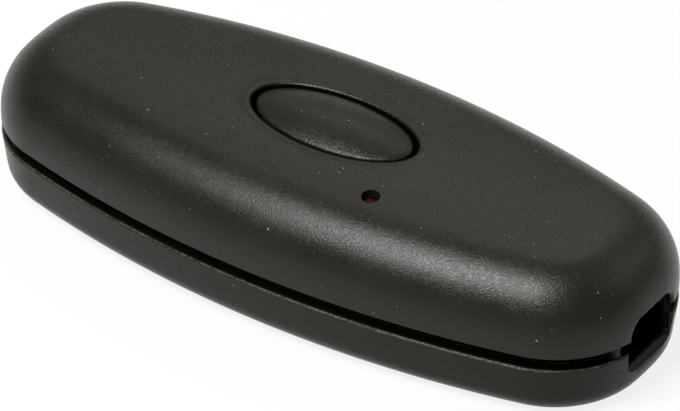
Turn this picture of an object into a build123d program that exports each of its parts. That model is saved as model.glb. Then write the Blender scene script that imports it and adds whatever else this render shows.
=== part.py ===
from build123d import *
import os
from math import asin, atan2, degrees, radians, sin, sqrt, tan

# Inline cord dimmer: two moulded half shells close on a tongue and step with a shadow gap between their rims.
# A domed oval button sits in the top, an indicator light beside it, and a cord port is in each end.
# Millimetres. X runs along the cord, Y across, Z up. The origin is the middle of the underside.

# Housing, outside
length = 104.0
width = 42.8
height = 22.7
side_radius = 167.0
end_radius = 56.0
corner_radius = 14.9
crown_across = 89.0
crown_along = 630.0
top_round = 9.4
lower_rim = 8.4
seam_gap = 1.8
lower_taper = 7.0
foot_round = 3.8
rim_bevel = 0.25

# Housing, inside
wall = 2.4
tongue_thickness = 0.9
tongue_clearance = 0.15
tongue_overlap = 1.9

# Cord ports, one in each end
port_width = 10.2
port_rise = 2.6
port_corner = 2.2
port_low_width = 11.2
port_drop = 3.8
port_low_corner = 0.8

# Push button and its hole
hole_long = 27.0
hole_wide = 13.3
hole_bevel = 0.3
button_gap = 0.6
button_proud = 1.15
dome_rise = 1.75
button_round = 0.5
button_wall = 1.4
button_travel = 0.8
collar_wall = 1.2
collar_depth = 4.6
flange_reach = 1.5
flange_thickness = 1.0
stem_rib = 1.2
stem_reach = 3.0
stem_pad = 1.0

# Indicator light
light_x = 13.15
light_y = -10.7
window_diameter = 2.6
window_skin = 1.1
light_diameter = 3.0
light_length = 5.4
light_flange_diameter = 3.8
light_flange = 1.0
light_clearance = 0.2
light_tube_wall = 1.2
light_pin_pitch = 2.54

# Housing screws, on one diagonal, driven from below
boss_setback_x = 19.0
boss_setback_y = 10.0
boss_diameter = 6.0
boss_split = 1.2
screw_head_diameter = 5.6
screw_head_height = 2.0
screw_shank_diameter = 2.9
screw_depth = 5.5
screw_side_gap = 0.35
pilot_gap = 0.05
head_sink = 1.0
head_gap = 0.4
recess_wall = 1.2
recess_floor = 1.8

# Cord clamps
clamp_setback = 11.0
clamp_post_y = 8.0
clamp_post_diameter = 5.0
clamp_bar_width = 5.4
clamp_bar_thickness = 2.6
clamp_bar_margin = 2.7
cord_space = 5.0
grip_rib_count = 3
grip_rib_pitch = 2.4
grip_rib_width = 0.9
grip_rib_length = 9.0
grip_rib_below_port = 0.4
small_head_diameter = 4.4
small_head_height = 1.6
small_shank_diameter = 2.2
small_screw_length = 6.0
small_screw_gap = 0.2

# Circuit board
board_thickness = 1.6
board_setback = 18.0
board_gap = 0.9
board_notch_gap = 0.6
board_screw_inset = 4.0
board_screw_y = 11.5
support_step = 6.0
board_post_diameter = 5.0
board_screw_length = 4.6
pin_clearance = 0.12
tail_below = 1.0
pin_size = 0.6

# Push switch under the button
switch_size = 12.0
switch_body = 3.6
switch_bore = 8.4
well_spare = 0.4
plunger_diameter = 6.8
plunger_foot_diameter = 7.8
plunger_foot = 1.0
plunger_rise = 2.4
plunger_gap = 0.3
cover_thickness = 0.4
cover_tab_drop = 2.4
cover_tab_width = 4.0
switch_pin_gap = 0.25
switch_pin_y = 2.5

# Terminal blocks
terminal_inset = 5.0
terminal_depth = 8.0
terminal_height = 9.2
pole_pitch = 5.08
chamber_width = 4.0
chamber_height = 5.4
chamber_floor = 1.4
chamber_depth = 6.4
cage_gap = 0.1
cage_wall = 0.7
terminal_screw_diameter = 3.2
terminal_screw_head = 1.4
terminal_shank_diameter = 1.8
terminal_screw_bore_gap = 0.15
slot_width = 0.6

# Triac on its heat sink
triac_x = -12.0
triac_setback = 11.8
triac_width = 10.0
triac_body_length = 9.0
triac_body_height = 3.1
tab_length = 6.2
tab_thickness = 1.3
tab_hole_diameter = 3.6
triac_pitch = 2.54
triac_lead_width = 0.8
triac_lead_thickness = 0.5
triac_lead_reach = 3.0
triac_lead_height = 1.1
sink_thickness = 1.5
fin_thickness = 1.0
fin_height = 6.0
nut_across = 5.5
nut_height = 2.2
nut_floor_gap = 0.4
tab_screw_diameter = 2.9
tab_screw_head_diameter = 5.2
tab_screw_head = 1.8

# Choke
choke_x = -12.8
choke_setback = 12.2
core_outer = 10.6
core_inner = 4.6
core_height = 4.8
core_gap = 0.1
wire_thickness = 0.7
wire_width = 0.7
sleeve_thickness = 0.25
turn_count = 13

# Capacitors, fuse, chip
film_x = 14.5
film_setback = 10.4
film_length = 13.0
film_width = 5.0
film_height = 8.8
film_pitch = 10.0
film_bevel = 0.5
tank_x = 19.8
tank_setback = 11.4
tank_diameter = 6.3
tank_height = 8.0
tank_pitch = 2.5
fuse_x = -13.2
fuse_y = -0.8
fuse_length = 8.5
fuse_width = 4.0
fuse_height = 6.4
fuse_pitch = 5.0
chip_x = 12.6
chip_y = 0.0
chip_length = 9.2
chip_width = 6.4
chip_height = 3.3
chip_lift = 0.5
chip_pitch = 2.54
chip_row = 7.62
chip_pin_count = 4

# Small parts that lie on the board: (middle x, middle y, body length, body diameter, lead spacing)
resistor_large = (3.6, -13.0, 6.4, 2.4, 9.6)
resistor_small = (3.6, -9.2, 6.0, 2.2, 9.6)
diode_large = (0.6, 9.2, 5.0, 2.6, 9.0)
diode_small = (0.6, 13.0, 4.0, 2.0, 9.0)
lead_bend = 0.8

# Heights and places that follow from the sizes above
half_length = length / 2
half_width = width / 2
upper_rim = lower_rim + seam_gap
step_z = upper_rim + tongue_overlap
tongue_inset = wall - tongue_thickness
relief_inset = tongue_inset - tongue_clearance
floor_z = wall
board_z = floor_z + nut_floor_gap + nut_height
deck_z = board_z + board_thickness
tail_z = board_z - tail_below
port_top = upper_rim + port_rise
port_bottom = lower_rim - port_drop
hole_a = hole_long / 2
hole_b = hole_wide / 2
button_a = hole_a - button_gap
button_b = hole_b - button_gap
button_top = height + button_proud
collar_z = height - collar_depth
flange_z = collar_z - flange_thickness
cover_z = deck_z + switch_body
plunger_top = cover_z + cover_thickness + plunger_rise
well_z = cover_z - plunger_foot - button_travel - well_spare
half_board = half_length - board_setback
triac_y = triac_setback - half_width
choke_y = half_width - choke_setback
film_y = half_width - film_setback
tank_y = tank_setback - half_width
switch_pin_x = switch_size / 2 + switch_pin_gap
boss_x = half_length - boss_setback_x
boss_y = half_width - boss_setback_y
boss_meet = lower_rim + boss_split
head_seat = head_sink + screw_head_height
clamp_x = half_length - clamp_setback
grip_top = port_bottom - grip_rib_below_port
clamp_z = grip_top + cord_space
board_screw_x = half_board - board_screw_inset
terminal_x = half_board - terminal_inset
chamber_z = deck_z + chamber_floor


def crown_dip(half_x, half_y):
    """Fall of the crowned top from its middle to a point of the plan."""
    dip = crown_across - sqrt(crown_across**2 - half_y**2)
    swing = crown_along - dip
    return crown_along - sqrt(swing**2 - half_x**2)


def round_limit():
    """Largest rounding of the top edge that still leaves a short upright wall above the rim."""
    spare = upper_rim + 2 * rim_bevel
    end_wall = height - crown_dip(half_length, 0) - spare
    side_wall = height - crown_dip(0, half_width) - spare
    end_slope = degrees(asin(half_length / crown_along))
    side_slope = degrees(asin(half_width / crown_across))
    share = 0.96
    end_round = share * end_wall / tan(radians(45 - end_slope / 2))
    side_round = share * side_wall / tan(radians(45 - side_slope / 2))
    return min(top_round, end_round, side_round)


def corner_centre():
    """Centre of the corner arc that touches a side arc and an end arc from inside."""
    side_y = half_width - side_radius
    end_x = half_length - end_radius
    span = sqrt(end_x**2 + side_y**2)
    from_side = side_radius - corner_radius
    from_end = end_radius - corner_radius
    along = (from_side**2 - from_end**2 + span**2) / (2 * span)
    off = sqrt(from_side**2 - along**2)
    step_x = end_x / span
    step_y = -side_y / span
    return (step_x * along + step_y * off, side_y + step_y * along - step_x * off)


def oval(inset=0.0):
    """Plan outline: flat arcs along the sides and across the ends, joined by corner arcs, all tangent."""
    side_centre = half_width - side_radius
    end_centre = half_length - end_radius
    x, y = corner_centre()
    low = degrees(atan2(y, x - end_centre))
    high = degrees(atan2(y - side_centre, x))
    side = side_radius - inset
    end = end_radius - inset
    corner = corner_radius - inset
    arcs = []
    for turn in (0, 180):
        place = 1 if turn == 0 else -1
        arcs.append(CenterArc((place * end_centre, 0), end, turn - low, 2 * low))
        arcs.append(CenterArc((place * x, place * y), corner, turn + low, high - low))
        arcs.append(CenterArc((0, place * side_centre), side, turn + high, 180 - 2 * high))
        arcs.append(CenterArc((-place * x, place * y), corner, turn + 180 - high, high - low))
    return make_face(arcs)


def slab(face, low, high):
    """A flat outline raised from one height to another."""
    return extrude(Pos(0, 0, low) * face, high - low)


def rod(x, y, diameter, low, high):
    """An upright round rod, boss or drill."""
    return slab(Pos(x, y) * Circle(diameter / 2), low, high)


def bar(x, y, size_x, size_y, low, high):
    """An upright square-edged bar."""
    return slab(Pos(x, y) * Rectangle(size_x, size_y), low, high)


def crowned_block(across, along, top, low, half_x, half_y):
    """Block under a doubly curved top: an arc across, swept lengthways along a much larger arc."""
    edge = top - across + sqrt(across**2 - half_y**2)
    arc = ThreePointArc((-half_y, edge), (0, top), (half_y, edge))
    sides = Polyline((half_y, edge), (half_y, low), (-half_y, low), (-half_y, edge))
    section = Plane.YZ * make_face([arc, sides])
    swing = degrees(asin(half_x / (along - (top - low))))
    spine = Plane.XZ * CenterArc((0, top - along), along, 90 + swing, -2 * swing)
    start = section.rotate(Axis((0, 0, top - along), (0, 1, 0)), -swing)
    return sweep(start, path=spine)


def skin(inset, low):
    """Solid inside the upper shell's outer surface, or inside one parallel to it."""
    margin = 2.0
    prism = slab(oval(inset), low, height + margin)
    block = crowned_block(crown_across - inset, crown_along - inset, height - inset, low - margin,
                          half_length + margin, half_width + margin)
    body = prism & block
    edges = body.faces().sort_by(Axis.Z)[-1].edges()
    return fillet(edges, round_limit() - inset)


def group(pieces):
    """Separate solids kept together in one node."""
    return Compound([solid for piece in pieces for solid in piece.solids()])


def both_ends(piece):
    """The same cut or form at the other end of the housing."""
    return piece + mirror(piece, Plane.YZ)


def port_cut(port_w, corner, low, high, round_top):
    """Opening through one end wall, with rounded corners at its top or its bottom."""
    depth = 2 * (wall + tongue_thickness) + 3.0
    reach = high - low
    profile = Pos(0, (low + high) / 2) * Rectangle(port_w, reach)
    side = Axis.Y
    corners = profile.vertices().group_by(side)[-1 if round_top else 0]
    profile = fillet(corners, min(corner, 0.9 * reach))
    cut = extrude(Plane.YZ.offset(half_length - depth / 2) * profile, depth)
    return both_ends(cut)


def diagonal(piece):
    """A piece and its copy turned half way round, for the two housing screws."""
    return piece + piece.rotate(Axis.Z, 180)


def upper_shell():
    """Domed cover with the button collar, the light's tube and the upper screw bosses."""
    cover = skin(0, upper_rim)
    cover = chamfer(cover.faces().sort_by(Axis.Z)[0].edges(), rim_bevel)
    cover -= skin(wall, upper_rim)
    cover -= slab(oval(relief_inset), upper_rim, step_z)
    within = skin(wall / 2, lower_rim)
    collar = slab(Ellipse(hole_a + collar_wall, hole_b + collar_wall), collar_z, height)
    tube_bore = light_diameter + 2 * light_clearance
    tube = rod(light_x, light_y, tube_bore + 2 * light_tube_wall, light_seat(), height)
    bosses = diagonal(rod(boss_x, -boss_y, boss_diameter, boss_meet, height))
    cover += (collar + tube + bosses) & within
    cover -= slab(Ellipse(hole_a, hole_b), collar_z, height + 1)
    rim = cover.edges().filter_by(lambda e: on_hole_edge(e))
    cover = chamfer(rim, hole_bevel)
    cover -= rod(light_x, light_y, tube_bore, light_seat(), window_z())
    cover -= rod(light_x, light_y, window_diameter, light_seat(), height + 1)
    pilot = screw_shank_diameter + 2 * pilot_gap
    cover -= diagonal(rod(boss_x, -boss_y, pilot, boss_meet, boss_meet + screw_depth + 1))
    return cover - port_cut(port_width, port_corner, upper_rim - 1, port_top, True)


def on_hole_edge(edge):
    """True for the button hole's edge in the outer surface."""
    box = edge.bounding_box()
    outer = box.max.Z > height - wall / 2
    inside = box.max.X < hole_a + 0.1 and box.min.X > -hole_a - 0.1
    return outer and inside and abs(box.max.Y) < hole_b + 0.1 and abs(box.min.Y) < hole_b + 0.1


def window_z():
    """Underside of the thin skin that the indicator window goes through."""
    return height - crown_dip(light_x, light_y) - window_skin


def light_seat():
    """Height of the indicator's flange top, which the light's tube rests on."""
    return light_tip() - light_length + light_flange


def light_tip():
    """Top of the indicator's dome, which stands a little way into the window."""
    dome = light_diameter / 2
    entry = window_diameter / 2 - light_clearance
    return window_z() + dome - sqrt(dome**2 - entry**2)


def lower_shell():
    """Tapered tray with the tongue, posts for board and clamps, and the screw recesses."""
    tray = extrude(Pos(0, 0, lower_rim) * oval(), lower_rim, dir=(0, 0, -1), taper=lower_taper)
    tray = fillet(tray.faces().sort_by(Axis.Z)[0].edges(), foot_round)
    tray = chamfer(tray.faces().sort_by(Axis.Z)[-1].edges(), rim_bevel)
    tray += slab(oval(tongue_inset), lower_rim - rim_bevel, step_z)
    tray -= slab(oval(wall), lower_rim, step_z)
    inner_rim = Pos(0, 0, lower_rim) * oval(wall)
    tray -= extrude(inner_rim, lower_rim - floor_z, dir=(0, 0, -1), taper=lower_taper)
    recess = screw_head_diameter + 2 * head_gap
    foot = rod(boss_x, -boss_y, recess + 2 * recess_wall, floor_z / 2, head_seat + recess_floor)
    foot += rod(boss_x, -boss_y, boss_diameter + 0.6, floor_z / 2, boss_meet)
    tray += diagonal(foot)
    tray -= diagonal(rod(boss_x, -boss_y, recess, -1, head_seat))
    tray -= diagonal(rod(boss_x, -boss_y, screw_shank_diameter + 2 * screw_side_gap, 0, boss_meet))
    tray += posts()
    tray -= pilots()
    tray += grip_ribs()
    return tray - port_cut(port_low_width, port_low_corner, port_bottom, step_z + 1, False)


def clamp_places():
    """Plan positions of the four cord clamp screws."""
    return [(side * clamp_x, y) for side in (-1, 1) for y in (-clamp_post_y, clamp_post_y)]


def board_screw_places():
    """Plan positions of the two board screws, on the diagonal that the housing screws leave free."""
    return [(-board_screw_x, -board_screw_y), (board_screw_x, board_screw_y)]


def support_places():
    """Plan positions of the plain posts that carry the board's other two corners."""
    return [(-board_screw_x + support_step, board_screw_y), (board_screw_x - support_step, -board_screw_y)]


def posts():
    """Posts under the clamps and the board."""
    forms = [rod(x, y, clamp_post_diameter, floor_z / 2, clamp_z) for x, y in clamp_places()]
    forms += [rod(x, y, board_post_diameter, floor_z / 2, board_z) for x, y in board_screw_places()]
    forms += [rod(x, y, board_post_diameter / 2, floor_z / 2, board_z) for x, y in support_places()]
    return group(forms)


def pilots():
    """Blind pilot holes in the clamp posts and the board posts."""
    hole = small_shank_diameter + 2 * pilot_gap
    clamp_low = clamp_z + clamp_bar_thickness - small_screw_length - 0.3
    board_low = deck_z - board_screw_length - 0.1
    forms = [rod(x, y, hole, clamp_low, clamp_z) for x, y in clamp_places()]
    forms += [rod(x, y, hole, board_low, board_z) for x, y in board_screw_places()]
    return group(forms)


def grip_ribs():
    """Low ribs across the floor, under each cord clamp, that bite into the cord's sheath."""
    forms = []
    for side in (-1, 1):
        for index in range(grip_rib_count):
            x = side * clamp_x + (index - (grip_rib_count - 1) / 2) * grip_rib_pitch
            forms.append(bar(x, 0, grip_rib_width, grip_rib_length, floor_z / 2, grip_top))
    return group(forms)


def push_button():
    """Domed cap with a retaining flange, hollow underneath, and a ribbed stem onto the switch."""
    across = (button_b**2 + dome_rise**2) / (2 * dome_rise)
    along = (button_a**2 + dome_rise**2) / (2 * dome_rise)
    dome = crowned_block(across, along, button_top, flange_z - 1, button_a + 1, button_b + 1)
    cap = slab(Ellipse(button_a, button_b), flange_z, button_top + 1) & dome
    cap = fillet(cap.faces().sort_by(Axis.Z)[-1].edges(), button_round)
    cap += slab(Ellipse(button_a + flange_reach, button_b + flange_reach), flange_z, collar_z)
    inner = crowned_block(across, along, button_top - button_wall, flange_z - 2, button_a + 1, button_b + 1)
    cap -= slab(Ellipse(button_a - button_wall, button_b - button_wall), flange_z, button_top) & inner
    pad_top = plunger_top + stem_pad
    stem = bar(0, 0, 2 * stem_reach, stem_rib, pad_top, button_top)
    stem += bar(0, 0, stem_rib, 2 * stem_reach, pad_top, button_top)
    middle = crowned_block(across, along, button_top - button_wall / 2, plunger_top, button_a, button_b)
    cap += stem & middle
    return cap + rod(0, 0, 2 * stem_reach, plunger_top, pad_top)


def cross_head(head_diameter, head_height):
    """Low screw head with its underside at zero, facing up, and a cross recess."""
    head = slab(Circle(head_diameter / 2), 0, head_height)
    head = chamfer(head.edges().sort_by(Axis.Z)[-1], 0.4 * head_height)
    arm = 0.62 * head_diameter
    cut = 0.14 * head_diameter
    for size_x, size_y in ((arm, cut), (cut, arm)):
        head -= bar(0, 0, size_x, size_y, 0.45 * head_height, head_height)
    return head


def slot_head(head_diameter, head_height):
    """Cylinder screw head with its underside at zero, facing up, and a slot across it."""
    head = slab(Circle(head_diameter / 2), 0, head_height)
    return head - bar(0, 0, head_diameter, slot_width, head_height / 2, head_height)


def shank(diameter, reach):
    """Screw shank below the head; the thread is left out."""
    return slab(Circle(diameter / 2), -reach, 0)


def housing_screws():
    """Two cross head screws, heads sunk in the underside."""
    reach = boss_meet + screw_depth - head_seat
    screw = cross_head(screw_head_diameter, screw_head_height) + shank(screw_shank_diameter, reach)
    upright = screw.rotate(Axis.X, 180)
    places = [(boss_x, -boss_y), (-boss_x, boss_y)]
    return group([Pos(x, y, head_seat) * upright for x, y in places])


def small_screws(places, seat, reach):
    """Small slotted screws, heads up, standing on a seat."""
    screw = slot_head(small_head_diameter, small_head_height) + shank(small_shank_diameter, reach)
    return group([Pos(x, y, seat) * screw for x, y in places])


def clamp_screws(side):
    """The two screws of one cord clamp."""
    places = [place for place in clamp_places() if place[0] * side > 0]
    return small_screws(places, clamp_z + clamp_bar_thickness, small_screw_length)


def board_screws():
    """The two screws that hold the board to its posts."""
    return small_screws(board_screw_places(), deck_z, board_screw_length)


def cord_clamp(side):
    """Saddle bar over the cord, with rounded ends and two teeth on its underside."""
    full = 2 * (clamp_post_y + clamp_bar_margin)
    saddle = Pos(side * clamp_x, 0) * SlotOverall(full, clamp_bar_width, rotation=90)
    piece = slab(saddle, clamp_z, clamp_z + clamp_bar_thickness)
    piece = chamfer(piece.faces().sort_by(Axis.Z)[-1].edges(), 0.4)
    tooth_drop = 0.6
    for index in (-1, 1):
        x = side * clamp_x + index * grip_rib_pitch / 2
        piece += bar(x, 0, grip_rib_width, grip_rib_length, clamp_z - tooth_drop, clamp_z)
    drill = small_shank_diameter + 2 * small_screw_gap
    for x, y in clamp_places():
        piece -= rod(x, y, drill, clamp_z - 1, clamp_z + clamp_bar_thickness)
    return piece


def board_outline():
    """Board plan: the housing's oval cut off square, notched round the two housing bosses."""
    outline = oval(wall + board_gap) & Rectangle(2 * half_board, width)
    notch = screw_head_diameter + 2 * (head_gap + recess_wall + board_notch_gap)
    for x, y in ((boss_x, -boss_y), (-boss_x, boss_y)):
        outline -= Pos(x, y) * Circle(notch / 2)
    return outline


def circuit_board():
    """Glass fibre board with a hole for every lead, pin and screw."""
    board = slab(board_outline(), board_z, deck_z)
    slot = pin_size + 2 * pin_clearance
    drills = [bar(x, y, slot, slot, board_z, deck_z) for x, y in pin_places()]
    drills += [rod(x, y, small_shank_diameter + 2 * small_screw_gap, board_z, deck_z)
               for x, y in board_screw_places()]
    drills.append(rod(tab_hole_x(), triac_y, tab_screw_diameter + 2 * small_screw_gap, board_z, deck_z))
    return board - group(drills)


def pair_places(x, y, pitch):
    """Two lead positions in a row along X."""
    return [(x - pitch / 2, y), (x + pitch / 2, y)]


def pin_places():
    """Every lead and pin that goes through the board."""
    places = pair_places(film_x, film_y, film_pitch) + pair_places(tank_x, tank_y, tank_pitch)
    places += pair_places(fuse_x, fuse_y, fuse_pitch) + choke_lead_places()
    for part in (resistor_large, resistor_small, diode_large, diode_small):
        places += pair_places(part[0], part[1], part[4])
    places += pair_places(light_x, light_y, light_pin_pitch) + chip_places() + switch_places()
    places += triac_lead_places() + terminal_places(-1) + terminal_places(1)
    return places


def switch_housing():
    """Square switch base with a round well for the plunger."""
    base = bar(0, 0, switch_size, switch_size, deck_z, cover_z)
    return base - rod(0, 0, switch_bore, well_z, cover_z)


def switch_cover_plate():
    """Thin steel plate over the switch, with a tab bent down each side."""
    plate = bar(0, 0, switch_size + 2 * cover_thickness, switch_size, cover_z, cover_z + cover_thickness)
    plate -= rod(0, 0, plunger_diameter + 2 * plunger_gap, cover_z, cover_z + cover_thickness)
    for side in (-1, 1):
        x = side * (switch_size + cover_thickness) / 2
        plate += bar(x, 0, cover_thickness, cover_tab_width, cover_z - cover_tab_drop, cover_z)
    return plate


def switch_plunger():
    """Round plunger with a wider foot held under the cover plate."""
    stem = rod(0, 0, plunger_diameter, cover_z - plunger_foot, plunger_top)
    stem = chamfer(stem.edges().sort_by(Axis.Z)[-1], 0.4)
    return stem + rod(0, 0, plunger_foot_diameter, cover_z - plunger_foot, cover_z)


def switch_places():
    """Plan positions of the switch's four pins."""
    return [(sx * (switch_pin_x + pin_size / 2), sy * switch_pin_y) for sx in (-1, 1) for sy in (-1, 1)]


def switch_contacts():
    """Four flat pins beside the switch base, each with a foot that reaches the base."""
    pins = []
    for x, y in switch_places():
        side = 1 if x > 0 else -1
        pin = bar(x, y, pin_size, pin_size, tail_z, well_z)
        shoulder = abs(x) - switch_size / 2
        pins.append(pin + bar(side * (switch_size / 2 + shoulder / 2), y, shoulder, pin_size,
                              well_z - pin_size, well_z))
    return group(pins)


def indicator_led():
    """Round indicator light: flange, body and domed tip as one moulding."""
    low = light_tip() - light_length
    body = rod(light_x, light_y, light_diameter, low, light_tip())
    body = fillet(body.edges().sort_by(Axis.Z)[-1], 0.99 * light_diameter / 2)
    return body + rod(light_x, light_y, light_flange_diameter, low, light_seat())


def led_leads():
    """Two long square leads that stand the light on the board."""
    top = light_tip() - light_length
    places = pair_places(light_x, light_y, light_pin_pitch)
    return group([bar(x, y, pin_size, pin_size, tail_z, top) for x, y in places])


def straight_leads(x, y, pitch, top):
    """Two leads from the underside of a standing part down through the board."""
    return group([bar(px, py, pin_size, pin_size, tail_z, top) for px, py in pair_places(x, y, pitch)])


def sink_z():
    """Top of the heat sink, where the triac's tab lies."""
    return deck_z + sink_thickness


def tab_hole_x():
    """Middle of the hole in the triac's tab."""
    return triac_x - triac_body_length / 2 - tab_length / 2


def heat_sink():
    """Folded aluminium strip: a flat under the triac and an upright fin beside it."""
    low_x = triac_x - triac_body_length / 2 - tab_length
    high_x = triac_x + triac_body_length / 2
    inner_y = triac_y - triac_width / 2
    flat = bar((low_x + high_x) / 2, triac_y, high_x - low_x, triac_width, deck_z, sink_z())
    fin = bar((low_x + high_x) / 2, inner_y - fin_thickness / 2, high_x - low_x, fin_thickness,
              deck_z, deck_z + fin_height)
    drill = rod(tab_hole_x(), triac_y, tab_screw_diameter + 2 * small_screw_gap, deck_z, sink_z())
    return flat + fin - drill


def triac_tab():
    """Metal tab under the triac's body, with its fixing hole."""
    low_x = triac_x - triac_body_length / 2 - tab_length
    high_x = triac_x + triac_body_length / 2
    tab = bar((low_x + high_x) / 2, triac_y, high_x - low_x, triac_width, sink_z(), sink_z() + tab_thickness)
    corners = tab.edges().filter_by(Axis.Z).group_by(Axis.X)[0]
    tab = chamfer(corners, 1.2)
    return tab - rod(tab_hole_x(), triac_y, tab_hole_diameter, sink_z(), sink_z() + tab_thickness)


def triac_body():
    """Moulded body on the tab, with drafted ends."""
    low = sink_z() + tab_thickness
    body = bar(triac_x, triac_y, triac_body_length, triac_width, low, low + triac_body_height)
    return chamfer(body.faces().sort_by(Axis.Z)[-1].edges(), 0.5)


def triac_lead_places():
    """Where the triac's three leads go through the board."""
    x = triac_x + triac_body_length / 2 + triac_lead_reach
    return [(x, triac_y + index * triac_pitch) for index in (-1, 0, 1)]


def triac_leads():
    """Three flat leads, bent down into the board."""
    start = triac_x + triac_body_length / 2
    z = sink_z() + tab_thickness + triac_lead_height
    leads = []
    for x, y in triac_lead_places():
        arm = bar((start + x) / 2, y, x - start, triac_lead_width, z, z + triac_lead_thickness)
        leads.append(arm + bar(x, y, pin_size, pin_size, tail_z, z + triac_lead_thickness))
    return group(leads)


def triac_screw():
    """Screw through tab, heat sink and board into the nut."""
    reach = sink_z() + tab_thickness - board_z + nut_height
    screw = slot_head(tab_screw_head_diameter, tab_screw_head) + shank(tab_screw_diameter, reach)
    return Pos(tab_hole_x(), triac_y, sink_z() + tab_thickness) * screw


def triac_nut():
    """Hexagon nut under the board."""
    corner = nut_across / sqrt(3)
    nut = slab(Pos(tab_hole_x(), triac_y) * RegularPolygon(corner, 6), board_z - nut_height, board_z)
    return nut - rod(tab_hole_x(), triac_y, tab_screw_diameter + 2 * pilot_gap, board_z - nut_height, board_z)


def ring(outer, inner, low, high):
    """A flat ring about the choke's middle."""
    return rod(choke_x, choke_y, outer, low, high) - rod(choke_x, choke_y, inner, low, high)


def choke_z():
    """Underside of the choke's core."""
    return deck_z + wire_thickness + sleeve_thickness + core_gap


def choke_core():
    """Ring core."""
    return ring(core_outer, core_inner, choke_z(), choke_z() + core_height)


def choke_winding():
    """Insulating sleeve with the turns of wire on it, drawn as one piece round the core."""
    low = choke_z() - core_gap
    high = choke_z() + core_height + core_gap
    outer = core_outer + 2 * core_gap
    inner = core_inner - 2 * core_gap
    sleeve = ring(outer + 2 * sleeve_thickness, inner - 2 * sleeve_thickness,
                  low - sleeve_thickness, high + sleeve_thickness)
    grown = sleeve_thickness + wire_thickness
    span = (outer - inner) / 2 + 2 * grown
    tall = high - low + 2 * grown
    loop = Rectangle(span, tall)
    loop = chamfer(loop.vertices(), grown / 2)
    turn = extrude(Plane.XZ * loop, wire_width / 2, both=True)
    middle = (outer + inner) / 4
    for index in range(turn_count):
        angle = 360 * index / turn_count
        sleeve += Pos(choke_x, choke_y, (low + high) / 2) * Rot(0, 0, angle) * Pos(middle, 0, 0) * turn
    winding = sleeve - ring(outer, inner, low, high)
    tops = [bar(x, y, pin_size, pin_size, tail_z, deck_z + grown) for x, y in choke_lead_places()]
    return winding + tops[0] + tops[1]


def choke_lead_places():
    """Where the choke's two wire ends go through the board."""
    middle = (core_outer + 2 * core_gap + 2 * sleeve_thickness) / 2
    return [(choke_x - middle, choke_y), (choke_x + middle, choke_y)]


def suppression_capacitor():
    """Box shaped film capacitor with bevelled edges."""
    body = bar(film_x, film_y, film_length, film_width, deck_z, deck_z + film_height)
    edges = body.edges().filter_by(Axis.Z) + body.faces().sort_by(Axis.Z)[-1].edges()
    return chamfer(edges, film_bevel)


def reservoir_capacitor():
    """Round can with a rolled groove above its base, turned from its profile."""
    r = tank_diameter / 2
    groove = 0.25
    outline = Polyline((0, 0), (r, 0), (r, 1.0), (r - groove, 1.3), (r, 1.6), (r, tank_height - groove),
                       (r - groove, tank_height), (0, tank_height), (0, 0))
    return Pos(tank_x, tank_y, deck_z) * revolve(Plane.XZ * make_face(outline), Axis.Z)


def fuse():
    """Small upright box fuse with rounded ends."""
    plan = Pos(fuse_x, fuse_y) * SlotOverall(fuse_length, fuse_width)
    body = slab(plan, deck_z, deck_z + fuse_height)
    return chamfer(body.faces().sort_by(Axis.Z)[-1].edges(), 0.3)


def chip_places():
    """Plan positions of the chip's pins, in two rows."""
    places = []
    for side in (-1, 1):
        for index in range(chip_pin_count):
            x = chip_x + (index - (chip_pin_count - 1) / 2) * chip_pitch
            places.append((x, chip_y + side * chip_row / 2))
    return places


def control_chip():
    """Moulded chip body with the notch that marks its first pin."""
    low = deck_z + chip_lift
    body = bar(chip_x, chip_y, chip_length, chip_width, low, low + chip_height)
    body = chamfer(body.faces().sort_by(Axis.Z)[-1].edges(), 0.3)
    notch = rod(chip_x - chip_length / 2, chip_y, 1.4, low + chip_height - 0.5, low + chip_height)
    return body - notch


def chip_pins():
    """Pins that leave the chip at mid height and turn down into the board."""
    z = deck_z + chip_lift + chip_height / 2
    pins = []
    for x, y in chip_places():
        side = 1 if y > chip_y else -1
        edge = chip_y + side * chip_width / 2
        arm = bar(x, (edge + y) / 2, 1.2, abs(y - edge), z, z + 0.25)
        pins.append(arm + bar(x, y, pin_size, pin_size, tail_z, z + 0.25))
    return group(pins)


def axial_z(part):
    """Height of the middle line of a part that lies on the board."""
    return deck_z + part[3] / 2


def resistor(part):
    """Resistor body: a slim barrel with fuller end caps, turned from its profile."""
    x, y, body_length, diameter, spacing = part
    half = body_length / 2
    full = diameter / 2
    waist = 0.86 * full
    cap = 0.24 * body_length
    outline = Polyline((-half, 0), (-half, full), (cap - half, full), (cap - half, waist),
                       (half - cap, waist), (half - cap, full), (half, full), (half, 0), (-half, 0))
    return Pos(x, y, axial_z(part)) * revolve(make_face(outline), Axis.X)


def diode(part):
    """Diode body: a plain cylinder."""
    x, y, body_length, diameter, spacing = part
    body = extrude(Plane.YZ * Circle(diameter / 2), body_length / 2, both=True)
    return Pos(x, y, axial_z(part)) * body


def bent_leads(part):
    """Leads that leave both ends of a lying part and bend down through the board."""
    x, y, body_length, diameter, spacing = part
    z = axial_z(part)
    wires = []
    for side in (-1, 1):
        start = (x + side * body_length / 2, y, z)
        corner = (x + side * spacing / 2, y, z)
        path = FilletPolyline(start, corner, (corner[0], y, tail_z), radius=lead_bend)
        section = Plane(start, x_dir=(0, 1, 0), z_dir=(side, 0, 0)) * Rectangle(pin_size, pin_size)
        wires.append(sweep(section, path=path))
    return group(wires)


def terminal_places(side):
    """Plan positions of a terminal block's two poles."""
    return [(side * terminal_x, row * pole_pitch / 2) for row in (-1, 1)]


def cage_size():
    """Outside sizes of a terminal's brass cage, which slides in its chamber."""
    across = chamber_width - 2 * cage_gap
    return across, across, chamber_height - cage_gap


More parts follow.
